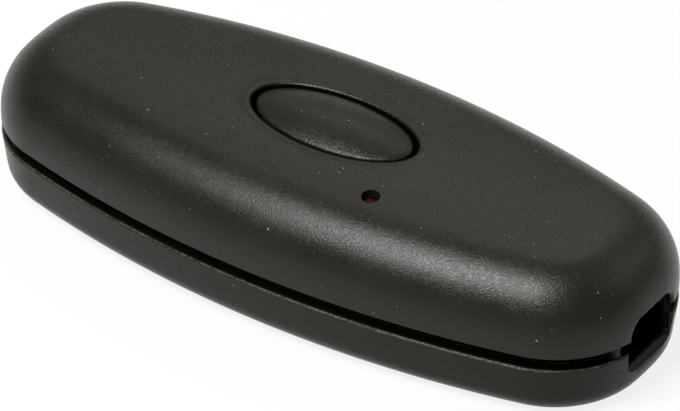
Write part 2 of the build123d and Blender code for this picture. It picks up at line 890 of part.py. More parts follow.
def terminal_housing(side):
    """Two pole terminal block: a chamber open to the cord side and a screw bore for each pole."""
    block = bar(side * terminal_x, 0, terminal_depth, 2 * pole_pitch, deck_z, deck_z + terminal_height)
    top_edges = block.faces().sort_by(Axis.Z)[-1].edges().filter_by(Axis.Y)
    block = chamfer(top_edges, 0.8)
    outer_x = side * (terminal_x + terminal_depth / 2)
    bore = terminal_screw_diameter + 2 * terminal_screw_bore_gap
    slot = pin_size + 2 * pin_clearance
    for x, y in terminal_places(side):
        block -= bar(outer_x - side * chamber_depth / 2, y, chamber_depth, chamber_width,
                     chamber_z, chamber_z + chamber_height)
        block -= rod(x, y, bore, chamber_z, deck_z + terminal_height)
        block -= bar(x, y, slot, slot, deck_z, chamber_z)
    return block


def terminal_clamps(side):
    """Brass cages with a window for the wire and a tapped top."""
    size_x, size_y, size_z = cage_size()
    top = chamber_z + size_z
    drill = terminal_shank_diameter + 2 * pilot_gap
    cages = []
    for x, y in terminal_places(side):
        cage = bar(x, y, size_x, size_y, chamber_z, top)
        cage -= bar(x, y, size_x, size_y - 2 * cage_wall, chamber_z + cage_wall, top - 2 * cage_wall)
        cages.append(cage - rod(x, y, drill, chamber_z + cage_wall, top))
    return group(cages)


def terminal_screws(side):
    """Slotted screws standing on the cages, one for each pole."""
    seat = chamber_z + cage_size()[2]
    screw = slot_head(terminal_screw_diameter, terminal_screw_head)
    screw += shank(terminal_shank_diameter, 3 * cage_wall)
    return group([Pos(x, y, seat) * screw for x, y in terminal_places(side)])


def terminal_pins(side):
    """Solder pins from the cages down through the block's floor and the board."""
    places = terminal_places(side)
    return group([bar(x, y, pin_size, pin_size, tail_z, chamber_z) for x, y in places])


nodes = {
    "upper_shell": upper_shell(),
    "lower_shell": lower_shell(),
    "push_button": push_button(),
    "housing_screws": housing_screws(),
    "circuit_board": circuit_board(),
    "board_screws": board_screws(),
    "switch_housing": switch_housing(),
    "switch_cover_plate": switch_cover_plate(),
    "switch_plunger": switch_plunger(),
    "switch_contacts": switch_contacts(),
    "indicator_led": indicator_led(),
    "led_leads": led_leads(),
    "heat_sink": heat_sink(),
    "triac_tab": triac_tab(),
    "triac_body": triac_body(),
    "triac_leads": triac_leads(),
    "triac_screw": triac_screw(),
    "triac_nut": triac_nut(),
    "choke_core": choke_core(),
    "choke_winding": choke_winding(),
    "suppression_capacitor": suppression_capacitor(),
    "capacitor_leads": straight_leads(film_x, film_y, film_pitch, deck_z),
    "reservoir_capacitor": reservoir_capacitor(),
    "reservoir_leads": straight_leads(tank_x, tank_y, tank_pitch, deck_z),
    "fuse": fuse(),
    "fuse_leads": straight_leads(fuse_x, fuse_y, fuse_pitch, deck_z),
    "control_chip": control_chip(),
    "chip_pins": chip_pins(),
    "dropper_resistor": resistor(resistor_large),
    "dropper_leads": bent_leads(resistor_large),
    "feedback_resistor": resistor(resistor_small),
    "feedback_leads": bent_leads(resistor_small),
    "rectifier_diode": diode(diode_large),
    "rectifier_leads": bent_leads(diode_large),
    "zener_diode": diode(diode_small),
    "zener_leads": bent_leads(diode_small),
}
for name, side in (("mains", -1), ("lamp", 1)):
    nodes[name + "_cord_clamp"] = cord_clamp(side)
    nodes[name + "_clamp_screws"] = clamp_screws(side)
    nodes[name + "_terminal_housing"] = terminal_housing(side)
    nodes[name + "_terminal_clamps"] = terminal_clamps(side)
    nodes[name + "_terminal_screws"] = terminal_screws(side)
    nodes[name + "_terminal_pins"] = terminal_pins(side)

os.makedirs("parts", exist_ok=True)
for name, shape in nodes.items():
    export_step(shape, "parts/" + name + ".step")
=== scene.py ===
from math import atan2, cos, pi, radians, sin, sqrt, tan

import bmesh
import bpy
from mathutils import Matrix, Vector


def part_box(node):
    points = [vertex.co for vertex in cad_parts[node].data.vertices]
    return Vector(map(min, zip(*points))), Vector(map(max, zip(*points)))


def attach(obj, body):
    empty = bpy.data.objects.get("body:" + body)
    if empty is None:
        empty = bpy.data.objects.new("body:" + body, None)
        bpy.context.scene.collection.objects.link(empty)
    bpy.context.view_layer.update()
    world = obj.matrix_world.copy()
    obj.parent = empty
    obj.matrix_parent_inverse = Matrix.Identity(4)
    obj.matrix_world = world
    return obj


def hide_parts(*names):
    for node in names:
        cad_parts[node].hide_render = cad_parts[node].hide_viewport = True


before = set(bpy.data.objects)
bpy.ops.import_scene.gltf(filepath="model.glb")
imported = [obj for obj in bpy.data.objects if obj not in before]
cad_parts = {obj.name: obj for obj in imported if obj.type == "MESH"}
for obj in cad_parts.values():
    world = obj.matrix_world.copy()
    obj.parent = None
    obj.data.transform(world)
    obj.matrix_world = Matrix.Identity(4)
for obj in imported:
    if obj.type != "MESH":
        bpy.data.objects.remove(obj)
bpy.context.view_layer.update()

# The camera stands to the right and in front, well back with a long lens, so the far end hardly narrows.
# Its place is an angle round the dimmer, a height angle, a distance and a small shift of the aim.
azimuth = radians(34.134)
elevation = radians(36.533)
roll = radians(0.064)
camera_distance = 0.893
aim_height = 0.01135
aim_right = 0.00076
aim_up = -0.00242
image_width = 680
lens_in_pixels = 6500
sensor_width = 36

back = Vector((sin(azimuth) * cos(elevation),
               -cos(azimuth) * cos(elevation), sin(elevation)))
level_right = Vector((cos(azimuth), sin(azimuth), 0))
level_up = back.cross(level_right)
right = level_right * cos(roll) + level_up * sin(roll)
up = level_up * cos(roll) - level_right * sin(roll)
eye = Vector((0, 0, aim_height)) + back * camera_distance + right * aim_right + up * aim_up


def shown(name, data):
    """A new object with its data, put in the scene."""
    thing = bpy.data.objects.new(name, data)
    bpy.context.scene.collection.objects.link(thing)
    return thing


camera_data = bpy.data.cameras.new("camera")
camera_data.sensor_width = sensor_width
camera_data.lens = lens_in_pixels / image_width * sensor_width
camera = shown("camera", camera_data)
camera.matrix_world = Matrix.Translation(eye) @ Matrix((right, up, back)).transposed().to_4x4()
bpy.context.scene.camera = camera
bpy.context.scene.view_settings.view_transform = "Standard"


# The studio is a white sweep with one soft box above the front left, which draws the bright band along the
# front rounding and the button's near edge, and two weak boxes behind that lift the top and the right end.
floor_half = 3.0
floor_drop = 0.00005
floor_dark = (0.56, 0.56, 0.55, 1)
floor_light = (0.59, 0.59, 0.58, 1)
floor_fibre = 9.0
floor_roughness = 0.7
floor_lift = 0.84
white = (1, 1, 1, 1)
sky_strength = 0.29
sky_colour = (1.0, 0.975, 0.90, 1)

mesh = bmesh.new()
bmesh.ops.create_grid(mesh, x_segments=1, y_segments=1, size=floor_half)
bmesh.ops.translate(mesh, verts=mesh.verts, vec=(0, 0, -floor_drop))
floor_data = bpy.data.meshes.new("floor")
mesh.to_mesh(floor_data)
mesh.free()
floor = shown("floor", floor_data)


def joined(tree, *wires):
    """Links sockets: each wire is a node and its output, then a node and its input."""
    for source, output, target, entry in wires:
        tree.links.new(source.outputs[output], target.inputs[entry])


def placed(tree, kind, **settings):
    """A new node of a kind, with its settings or its plain input values."""
    node = tree.nodes.new("ShaderNode" + kind)
    for name, value in settings.items():
        label = name.replace("_", " ").title()
        if label in node.inputs:
            node.inputs[label].default_value = value
        else:
            setattr(node, name, value)
    return node


def in_object(tree, kind, **settings):
    """A new node that takes the object's own coordinates."""
    node = placed(tree, kind, **settings)
    joined(tree, (placed(tree, "TexCoord"), "Object", node, "Vector"))
    return node


def calc(tree, kind, first, second=0):
    """A math node on two values, each a number or a node with a socket name."""
    node = placed(tree, "Math", operation=kind)
    for k, value in enumerate((first, second)):
        if isinstance(value, tuple):
            joined(tree, (*value, node, k))
        else:
            node.inputs[k].default_value = value
    return (node, 0)


def times(tree, *values):
    """The product of several values."""
    total = values[0]
    for value in values[1:]:
        total = calc(tree, "MULTIPLY", total, value)
    return total


def new_material(name):
    """A new material with its tree of nodes and its main shader."""
    material = bpy.data.materials.new(name)
    material.use_nodes = True
    return material, material.node_tree, material.node_tree.nodes["Principled BSDF"]


floor_finish, tree, paper = new_material("studio_floor")
paper.inputs["Roughness"].default_value = floor_roughness
fibre = in_object(tree, "TexNoise", scale=floor_fibre, detail=2.0)
tint = placed(tree, "MixRGB", color1=floor_dark, color2=floor_light)
bright = placed(tree, "Emission", color=white, strength=1.0)
lifted = placed(tree, "MixShader")
see_through = placed(tree, "BsdfTransparent")
facing = placed(tree, "NewGeometry")
sided = placed(tree, "MixShader")
rays = placed(tree, "LightPath")
direct = calc(tree, "MAXIMUM", (rays, "Is Camera Ray"), (rays, "Is Glossy Ray"))
clear = calc(tree, "MAXIMUM", direct, (rays, "Is Transmission Ray"))
lift = times(tree, clear, floor_lift)
joined(tree, (fibre, "Fac", tint, "Fac"), (tint, "Color", paper, "Base Color"), (*lift, lifted, "Fac"),
       (paper, "BSDF", lifted, 1), (bright, "Emission", lifted, 2), (facing, "Backfacing", sided, "Fac"),
       (lifted, "Shader", sided, 1), (see_through, "BSDF", sided, 2),
       (sided, "Shader", tree.nodes["Material Output"], "Surface"))
floor_data.materials.append(floor_finish)

world = bpy.data.worlds.new("studio")
world.use_nodes = True
bpy.context.scene.world = world
tree = world.node_tree
backdrop = placed(tree, "Background", color=white, strength=1.0)
sky = placed(tree, "Background", color=sky_colour, strength=sky_strength)
rays = placed(tree, "LightPath")
seen = placed(tree, "MixShader")
joined(tree, (rays, "Is Camera Ray", seen, "Fac"), (sky, "Background", seen, 1),
       (backdrop, "Background", seen, 2), (seen, "Shader", tree.nodes["World Output"], "Surface"))


def soft_light(name, side, height_angle, distance, size_x, size_y, watts):
    """A soft box that faces the dimmer, at an angle round it from the front and a height angle."""
    data = bpy.data.lights.new(name, "AREA")
    data.shape = "RECTANGLE"
    data.size = size_x
    data.size_y = size_y
    data.energy = watts
    lamp = shown(name, data)
    way = Vector((sin(side) * cos(height_angle), -cos(side) * cos(height_angle), sin(height_angle)))
    turn = way.to_track_quat("Z", "Y").to_matrix().to_4x4()
    lamp.matrix_world = Matrix.Translation(way * distance) @ turn


soft_light("key_box", radians(-16), radians(60), 1.0, 0.42, 0.42, 16.0)
soft_light("far_left_box", radians(-152), radians(46), 1.4, 0.9, 0.5, 2.5)
soft_light("far_right_box", radians(140), radians(38), 1.4, 0.9, 0.7, 2.1)


# The upper shell is the domed half of the housing, moulded in black plastic with a fine eroded grain.
# Its plan is flat arcs joined by corner arcs, its top is crowned both ways, and a lip closes over the tray.
half_length = 0.052
half_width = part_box("upper_shell")[1].y
height = 0.0227
side_radius = 0.167
end_radius = 0.056
corner_radius = 0.0149
crown_across = 0.089
crown_along = 0.630
top_round = 0.0094
wall = 0.0024
seam_low = 0.0084
seam_high = 0.0102
rim_bevel = 0.00025
relief_inset = 0.00135
step_height = 0.0121
hole_a = 0.0263 / 2
hole_b = 0.0129 / 2
hole_round = 0.00045
bead_width = 0.0006
bead_height = 0.00005
collar_wall = 0.0012
collar_low = height - 0.0046
port_width = 0.0102
port_top = 0.0128
port_corner = 0.0022
port_depth = 0.0048
mouth_round = 0.0006
mouth_turn = radians(62)
flare_width = 0.0019
flare_reach = 0.001
end_bow = 0.0004
overrun = 0.001
arc_step = 0.0010
mouth_steps = 5
round_steps = 18
crown_steps = 16
hole_steps = 6
cove_steps = 9
ceiling_steps = 8

light_low, light_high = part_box("indicator_led")
light_middle = (light_low + light_high) / 2
light_place = (light_middle.x, light_middle.y)
window_width = 0.0026
window_skin = 0.0011
tube_bore = 0.0034
tube_wall = 0.0012
tube_low = light_low.z + 0.001

ends = (-1, 1)
boss_x = half_length - 0.019
boss_y = half_width - 0.010
boss_places = [(side * boss_x, -side * boss_y) for side in ends]
boss_width = 0.006
boss_low = seam_low + 0.0012
pilot_width = 0.0030
pilot_depth = 0.0065


def plan_arcs():
    """The housing's plan as arcs, each a centre and an angle, from the middle of the right end round."""
    side_y = half_width - side_radius
    end_x = half_length - end_radius
    span = sqrt(end_x ** 2 + side_y ** 2)
    from_side = side_radius - corner_radius
    from_end = end_radius - corner_radius
    along = (from_side ** 2 - from_end ** 2 + span ** 2) / (2 * span)
    off = sqrt(from_side ** 2 - along ** 2)
    x = (end_x * along - side_y * off) / span
    y = side_y + (-side_y * along - end_x * off) / span
    low = atan2(y, x - end_x)
    high = atan2(y - side_y, x)
    half = [((end_x, 0), low), ((x, y), high - low), ((0, side_y), pi - 2 * high), ((-x, y), high - low)]
    turned = [((-a, -b), angle) for (a, b), angle in half]
    return half + [((-end_x, 0), low)] + turned + [((end_x, 0), low)]


def flat_ring(plan, inset, level):
    """The plan drawn in by an inset, at one height."""
    return [(point - way * inset) + Vector((0, 0, level)) for point, way in plan]


def plan_mesh(inset, level):
    """A mesh with the plan as a ring of edges at one height, the plan's points and ways out, and the ring."""
    mesh = bmesh.new()
    seat = mesh.verts.layers.int.new("seat")
    tip = mesh.verts.new((half_length, 0, 0))
    outward = [Vector((1, 0, 0))]
    for (x, y), angle in plan_arcs():
        middle = Vector((x, y, 0))
        steps = max(3, round((tip.co - middle).length * angle / arc_step))
        before = len(mesh.verts)
        turned = bmesh.ops.spin(mesh, geom=[tip], cent=middle, axis=(0, 0, 1), angle=angle, steps=steps)
        tip = turned["geom_last"][0]
        mesh.verts.ensure_lookup_table()
        outward += [(mesh.verts[k].co - middle).normalized() for k in range(before, len(mesh.verts))]
    bmesh.ops.remove_doubles(mesh, verts=mesh.verts, dist=1e-6)
    mesh.verts.ensure_lookup_table()
    plan = [(point.co.copy(), outward[k]) for k, point in enumerate(mesh.verts)]
    for k, place in enumerate(flat_ring(plan, inset, level)):
        mesh.verts[k][seat] = k
        mesh.verts[k].co = place
    return mesh, plan, list(mesh.edges)


def grow(mesh, ring, rings):
    """Extrudes a ring of edges through one ring of places after another, and gives back the last one."""
    seat = mesh.verts.layers.int["seat"]
    for places in rings:
        made = bmesh.ops.extrude_edge_only(mesh, edges=ring)["geom"]
        points = {piece for piece in made if isinstance(piece, bmesh.types.BMVert)}
        for point in points:
            point.co = places[point[seat]]
        edges = [piece for piece in made if isinstance(piece, bmesh.types.BMEdge)]
        ring = [edge for edge in edges if points.issuperset(edge.verts)]
    return ring


def crown_height(x, y, sunk=0.0):
    """Height of the crowned top, or of a surface parallel to it that lies some way inside."""
    across = crown_across - sunk
    along = crown_along - sunk
    dip = across - sqrt(across ** 2 - y ** 2)
    return height - sunk - along + sqrt((along - dip) ** 2 - x ** 2)


def crown_normal(x, y, sunk):
    """Direction square to the crowned top at a point of the plan."""
    across = crown_across - sunk
    along = crown_along - sunk
    flat = sqrt(across ** 2 - y ** 2)
    reach = along - across + flat
    return Vector((x / reach, y / flat, sqrt(reach ** 2 - x ** 2) / reach)).normalized()


def ball_ring(plan, inset, share):
    """A step round the top edge: a ball rolled between the upright wall and the crowned top."""
    places = []
    for point, way in plan:
        middle = point - way * top_round
        middle.z = crown_height(middle.x, middle.y, top_round)
        upward = crown_normal(middle.x, middle.y, top_round)
        places.append(middle + way.slerp(upward, share) * (top_round - inset))
    return places


def oval_ring(plan, half_a, half_b, spread=0.0):
    """The button hole's oval, or one drawn out by an even width, with a point for each point of the plan."""
    places = []
    for point, _ in plan:
        angle = atan2(point.y / half_width, point.x / half_length)
        way = Vector((cos(angle) / half_a, sin(angle) / half_b, 0)).normalized()
        places.append(Vector((half_a * cos(angle), half_b * sin(angle), 0)) + way * spread)
    return places


def on_crown(places, sunk=0.0, drop=0.0):
    """The same points lifted onto the crowned top."""
    return [Vector((p.x, p.y, crown_height(p.x, p.y, sunk) - drop)) for p in places]


def between(first, last, share, sunk=0.0):
    """Points a share of the way from one ring to another, on the crowned top."""
    return on_crown([a.lerp(b, share) for a, b in zip(first, last)], sunk)


def to_object(mesh, name):
    """Closes and turns a mesh outwards and makes it an object."""
    bmesh.ops.remove_doubles(mesh, verts=mesh.verts, dist=2e-7)
    bmesh.ops.recalc_face_normals(mesh, faces=mesh.faces)
    data = bpy.data.meshes.new(name)
    mesh.to_mesh(data)
    mesh.free()
    return shown(name, data)


def smoothed(piece, sharp_angle):
    """Smooth faces, apart from edges sharper than an angle."""
    for face in piece.data.polygons:
        face.use_smooth = True
    piece.data.set_sharp_from_angle(angle=sharp_angle)


def carved(piece, tool_mesh, operation):
    """Cuts a form out of a piece, joins it on, or keeps only what both share."""
    tool = to_object(tool_mesh, "tool")
    step = piece.modifiers.new("step", "BOOLEAN")
    step.operation = operation
    step.solver = "EXACT"
    step.object = tool
    bpy.context.view_layer.update()
    shaped = piece.evaluated_get(bpy.context.evaluated_depsgraph_get())
    spent = (piece.data, tool.data)
    fresh = bpy.data.meshes.new_from_object(shaped)
    piece.modifiers.remove(step)
    piece.data = fresh
    bpy.data.objects.remove(tool)
    for data in spent:
        bpy.data.meshes.remove(data)


def rods(mesh, places, diameter, low, high, segments=48):
    """Upright round rods at places in plan."""
    for x, y in places:
        made = bmesh.ops.create_cone(mesh, cap_ends=True, segments=segments, radius1=diameter / 2,
                                     radius2=diameter / 2, depth=high - low)
        bmesh.ops.translate(mesh, verts=made["verts"], vec=(x, y, (low + high) / 2))


def rods_carved(piece, operation, *sets):
    """Cuts or joins rods in one step, each set given as its places, diameter, low and high end."""
    mesh = bmesh.new()
    for row in sets:
        rods(mesh, *row)
    carved(piece, mesh, operation)


def block(mesh, low, high, corner_edges=None, corner=0.0):
    """A block between two corners, with its long edges along X rounded at the top or bottom if asked."""
    made = bmesh.ops.create_cube(mesh, size=1)["verts"]
    bmesh.ops.scale(mesh, verts=made, vec=[b - a for a, b in zip(low, high)])
    bmesh.ops.translate(mesh, verts=made, vec=[(a + b) / 2 for a, b in zip(low, high)])
    if corner_edges:
        level = high[2] if corner_edges == "top" else low[2]
        edges = [e for e in mesh.edges if all(v in made and abs(v.co.z - level) < 1e-7 for v in e.verts)
                 and abs(e.verts[0].co.x - e.verts[1].co.x) > 1e-6]
        bmesh.ops.bevel(mesh, geom=edges, offset=corner, affect="EDGES", segments=10, profile=0.5,
                        material=-1)


def port_tools(width, low, high, corner_edges, corner, mouth_round):
    """The cutters for both cord ports: blocks through each end wall that flare at the outer face."""
    mesh = bmesh.new()
    mouth = half_length - end_bow - mouth_round
    middle = (low + high) / 2
    for side in ends:
        inner, outer = sorted((side * (half_length - port_depth), side * mouth))
        block(mesh, (inner, -width / 2, low), (outer, width / 2, high), corner_edges, corner)
        section = [face for face in mesh.faces
                   if all(abs(v.co.x - side * mouth) < 1e-7 for v in face.verts)]
        before = (0, 0)
        for k in range(1, mouth_steps + 2):
            turn = min(k, mouth_steps) / mouth_steps * mouth_turn
            beyond = k > mouth_steps
            grown = mouth_round * (1 - cos(turn)) + beyond * flare_width
            reach = mouth_round * sin(turn) + beyond * flare_reach
            made = bmesh.ops.extrude_face_region(mesh, geom=section)["geom"]
            points = [piece for piece in made if isinstance(piece, bmesh.types.BMVert)]
            bmesh.ops.delete(mesh, geom=section, context="FACES")
            section = [piece for piece in made if isinstance(piece, bmesh.types.BMFace)]
            wider = (width / 2 + grown) / (width / 2 + before[0])
            taller = ((high - low) / 2 + grown) / ((high - low) / 2 + before[0])
            for point in points:
                point.co.x += side * (reach - before[1])
                point.co.y *= wider
                point.co.z = middle + (point.co.z - middle) * taller
            before = (grown, reach)
    return mesh


mesh, plan, ring = plan_mesh(relief_inset, seam_high)
hole_edge = oval_ring(plan, hole_a, hole_b, hole_round)
bead_edge = oval_ring(plan, hole_a, hole_b, hole_round + bead_width)
hole_wall = oval_ring(plan, hole_a, hole_b)
collar = oval_ring(plan, hole_a + collar_wall, hole_b + collar_wall)
rings = [flat_ring(plan, rim_bevel, seam_high), flat_ring(plan, 0, seam_high + rim_bevel),
         flat_ring(plan, 0, seam_high + 2 * rim_bevel)]
rings += [ball_ring(plan, 0, k / round_steps) for k in range(round_steps + 1)]
outer_end = rings[-1]
rings += [between(outer_end, bead_edge, k / crown_steps) for k in range(1, crown_steps + 1)]
for share in (0.25, 0.5, 0.75):
    rise = Vector((0, 0, bead_height * sin(share * pi)))
    rings.append([p + rise for p in between(bead_edge, hole_edge, share)])
rings.append(on_crown(hole_edge))
for k in range(1, hole_steps + 1):
    turn = k / hole_steps * pi / 2
    oval = oval_ring(plan, hole_a, hole_b, hole_round * (1 - sin(turn)))
    rings.append(on_crown(oval, 0, hole_round * (1 - cos(turn))))
rings += [[Vector((p.x, p.y, collar_low)) for p in oval] for oval in (hole_wall, collar)]
rings.append(on_crown(collar, wall))
inner_end = ball_ring(plan, wall, 1)
rings += [between(collar, inner_end, k / ceiling_steps, wall) for k in range(1, ceiling_steps + 1)]
rings += [ball_ring(plan, wall, 1 - k / cove_steps) for k in range(1, cove_steps + 1)]
rings += [flat_ring(plan, wall, step_height), flat_ring(plan, relief_inset, step_height),
          flat_ring(plan, relief_inset, seam_high)]
grow(mesh, ring, rings)
upper_shell = to_object(mesh, "upper_half")

fittings = bmesh.new()
rods(fittings, boss_places, boss_width, boss_low, crown_height(boss_x, boss_y, wall / 2))
rods(fittings, [light_place], tube_bore + 2 * tube_wall, tube_low, crown_height(*light_place, wall / 2))
room, plan, ring = plan_mesh(wall / 2, boss_low)
bmesh.ops.contextual_create(room, geom=ring)
room_end = ball_ring(plan, wall / 2, 1)
rings = [ball_ring(plan, wall / 2, k / cove_steps) for k in range(cove_steps + 1)]
for k in range(1, ceiling_steps):
    rings.append(on_crown([p.lerp(Vector((0, 0, 0)), k / ceiling_steps) for p in room_end], wall / 2))
ring = grow(room, ring, rings)
bmesh.ops.contextual_create(room, geom=ring)
bosses = to_object(fittings, "bosses")
carved(bosses, room, "INTERSECT")
fittings = bmesh.new()
fittings.from_mesh(bosses.data)
bpy.data.objects.remove(bosses)
carved(upper_shell, fittings, "UNION")
skin_low = crown_height(*light_place) - window_skin
rods_carved(upper_shell, "DIFFERENCE",
            (boss_places, pilot_width, boss_low - overrun, boss_low + pilot_depth),
            ([light_place], tube_bore, tube_low - overrun, skin_low))
rods_carved(upper_shell, "DIFFERENCE",
            ([light_place], window_width, skin_low - overrun, height + overrun, 64))
carved(upper_shell, port_tools(port_width, seam_high - overrun, port_top, "top", port_corner, mouth_round),
       "DIFFERENCE")
smoothed(upper_shell, radians(38))

fine_pits = 6800.0
coarse_pits = 4200.0
black_shine = 0.27
lint_colour = (0.34, 0.33, 0.30)
# Near-black painted shade for walls down in gaps, ports and the button hole.
gap_shade_paint = (0.0012, 0.0012, 0.0009)
plain_black = (0, 0, 0, 1)
surface_inputs = {"Dark": plain_black, "Light": plain_black, "Smoothest": 0.5, "Roughest": 0.5}
surface_outputs = {"Color": plain_black, "Roughness": 0.5, "Height": 0.0}


def finish_group(name, inputs, outputs):
    """An empty node group with sockets for colours, directions and numbers, and its two end nodes."""
    group = bpy.data.node_groups.new(name, "ShaderNodeTree")
    for way, sockets in (("INPUT", inputs), ("OUTPUT", outputs)):
        for label, value in sockets.items():
            kind = "Float" if isinstance(value, float) else {3: "Vector", 4: "Color"}[len(value)]
            socket = group.interface.new_socket(label, in_out=way, socket_type="NodeSocket" + kind)
            socket.default_value = value
    return group, group.nodes.new("NodeGroupInput"), group.nodes.new("NodeGroupOutput")


def ranged(tree, value, low, high, to_low, to_high):
    """A value carried from one range to another, and held inside it."""
    node = placed(tree, "MapRange", clamp=True, from_min=low, from_max=high, to_min=to_low,
                  to_max=to_high)
    joined(tree, (*value, node, "Value"))
    return (node, 0)


def mixed(tree, share, first, second):
    """Two colours mixed by a share, each three numbers or a node with a socket name."""
    node = placed(tree, "MixRGB")
    joined(tree, (*share, node, "Fac"))
    for label, value in (("Color1", first), ("Color2", second)):
        if isinstance(value[0], bpy.types.Node):
            joined(tree, (*value, node, label))
        else:
            node.inputs[label].default_value = (*value, 1)
    return (node, "Color")


def noise(tree, scale, detail=2.0):
    """Noise in the object's own coordinates."""
    return (in_object(tree, "TexNoise", scale=scale, detail=detail), "Fac")


def along(tree, axis):
    """One of the object's own coordinates."""
    return (in_object(tree, "SeparateXYZ"), axis)


def within(tree, axis, low, high):
    """Mask of what lies between two places along one axis."""
    place = along(tree, axis)
    return times(tree, calc(tree, "GREATER_THAN", place, low), calc(tree, "LESS_THAN", place, high))


def squares(tree, first, second):
    """The sum of two squares."""
    return calc(tree, "ADD", times(tree, first, first), times(tree, second, second))


def put_out(group, ins, outs, tone, gloss, relief):
    """Ends a surface group: a colour between its two tones, a roughness in its range and a height."""
    rough = placed(group, "MapRange")
    colour = mixed(group, tone, (ins, "Dark"), (ins, "Light"))
    joined(group, (*colour, outs, "Color"), (*gloss, rough, "Value"), (ins, "Smoothest", rough, "To Min"),
           (ins, "Roughest", rough, "To Max"), (rough, "Result", outs, "Roughness"),
           (*relief, outs, "Height"))
    return group


def eroded_grain():
    """Group for spark-eroded moulded plastic: fine pits, faint mottling and uneven gloss."""
    group, ins, outs = finish_group("eroded_grain", surface_inputs, surface_outputs)
    fine = noise(group, fine_pits, 1.0)
    coarse = noise(group, coarse_pits, 1.0)
    patches = noise(group, 90.0, 4.0)
    cloud = noise(group, 22.0, 2.0)
    tone = calc(group, "ADD", ranged(group, patches, 0.35, 0.7, 0, 0.5),
                ranged(group, cloud, 0.4, 0.65, 0, 0.5))
    gloss = calc(group, "ADD", ranged(group, coarse, 0.3, 0.7, 0, 0.7),
                 ranged(group, patches, 0.3, 0.7, 0, 0.3))
    relief = calc(group, "ADD", times(group, fine, 0.5), times(group, coarse, 0.5))
    return put_out(group, ins, outs, tone, gloss, relief)


def dust_and_lint():
    """Group for stray white specks and short fibres that lie on black plastic: a mask from nought to one."""
    group, ins, outs = finish_group("dust_and_lint", {"Amount": 0.6}, {"Mask": 0.0})
    total = 0
    for scale, width, stretch, turn in ((420.0, 0.055, (1, 1, 1), 0.0), (260.0, 0.03, (1, 0.22, 1), 0.7),
                                        (230.0, 0.028, (0.25, 1, 1), 0.3), (900.0, 0.07, (1, 1, 1), 0.0)):
        drawn = in_object(group, "Mapping", scale=stretch, rotation=(0, 0, turn))
        cells = placed(group, "TexVoronoi", scale=scale)
        pick = placed(group, "SeparateColor")
        joined(group, (drawn, "Vector", cells, "Vector"), (cells, "Color", pick, "Color"))
        spot = ranged(group, (cells, "Distance"), width * 0.6, width * 1.4, 1, 0)
        rare = calc(group, "LESS_THAN", (pick, "Red"), (ins, "Amount"))
        faint = ranged(group, (pick, "Green"), 0, 1, 0.1, 0.9)
        total = calc(group, "MAXIMUM", total, times(group, spot, rare, faint))
    joined(group, (*total, outs, "Mask"))
    return group


grain = eroded_grain()
lint = dust_and_lint()


def port_shade(tree):
    """Mask of the walls inside both cord ports, behind their flared mouths, where painted shade darkens them.
    """
    behind = half_length - 0.0017
    return times(tree, within(tree, "X", -behind, behind), within(tree, "Y", -0.0060, 0.0060),
                 within(tree, "Z", 0.0042, 0.0135))


def hole_shade(tree):
    """Mask of the button hole's wall below its rounded edge, where painted shade darkens it."""
    across = calc(tree, "DIVIDE", along(tree, "X"), hole_a)
    down = calc(tree, "DIVIDE", along(tree, "Y"), hole_b)
    return ranged(tree, squares(tree, across, down), 1.01, 1.05, 1, 0)


def surfaced(name, group, tones, gloss, bump, marks, shine, **extra):
    """A material from a surface group: its tones, its range of roughness, the height of its relief, marks
    painted on as (mask maker, colour), plain values of the shader and further inputs of the group."""
    material, tree, shader = new_material(name)
    for label, value in shine.items():
        shader.inputs[label].default_value = value
    surface = placed(tree, "Group", node_tree=group)
    values = {"Dark": (*tones[0], 1), "Light": (*tones[1], 1), "Smoothest": gloss[0], "Roughest": gloss[1]}
    for label, value in (values | extra).items():
        surface.inputs[label].default_value = value
    colour = (surface, "Color")
    for mask, paint in marks:
        colour = mixed(tree, mask(tree), colour, paint)
    relief = placed(tree, "Bump", strength=1.0, distance=bump)
    joined(tree, (*colour, shader, "Base Color"), (surface, "Roughness", shader, "Roughness"),
           (surface, "Height", relief, "Height"), (relief, "Normal", shader, "Normal"))
    return material


def moulded_black(name, tones, gloss, bump, lint_amount, shine, marks):
    """Black moulded plastic: eroded grain with stray lint on it, and further marks."""
    def lint_mask(tree):
        specks = placed(tree, "Group", node_tree=lint)
        specks.inputs["Amount"].default_value = lint_amount
        return (specks, "Mask")
    marks = ((lint_mask, lint_colour), *marks)
    return surfaced(name, grain, tones, gloss, bump, marks, {"Specular IOR Level": shine})


def dressed(piece, material):
    """Gives a piece one material in every slot."""
    if not piece.material_slots:
        piece.data.materials.append(material)
    for slot in piece.material_slots:
        slot.material = material


# Painted shade darkens the button hole's wall and the port walls of the shell.
shell_black = moulded_black(
    "shell_black", ((0.0058, 0.0056, 0.0034), (0.0092, 0.0088, 0.0054)), (0.20, 0.36), 0.00008, 0.14,
    black_shine, ((hole_shade, gap_shade_paint), (port_shade, gap_shade_paint)))
dressed(upper_shell, shell_black)
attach(upper_shell, "housing")
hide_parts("upper_shell")


# The lower shell is the tray half, moulded in the same black plastic, with sides that taper to a round foot.
# A groove and a tongue inside its lip make the seam, which painted shade darkens, and two screws go up
# through recesses in its foot.
lower_taper = radians(7)
foot_round = 0.0038
foot_steps = 10
foot_lead = 0.0004
foot_band = 0.006
lip_width = 0.00052
groove_lean = 0.0001
groove_depth = 0.0026
tongue_inset = 0.0020
floor_height = 0.0024
low_port_width = 0.0112
low_port_corner = 0.0008
low_mouth_round = 0.0016
low_mouth_inset = 0.0007
port_low = 0.0046 + low_mouth_inset
recess_width = 0.0064
recess_wall = 0.0012
recess_depth = 0.0030
recess_floor = 0.0018
shank_hole = 0.0036
foot_play = 0.0006
post_width = 0.005
clamp_x = half_length - 0.011
clamp_places = [(side * clamp_x, k * 0.008) for side in ends for k in ends]
clamp_post_top = 0.0092
clamp_pilot_depth = 0.004
rib_pitch = 0.0024
rib_width = 0.0009
rib_length = 0.009
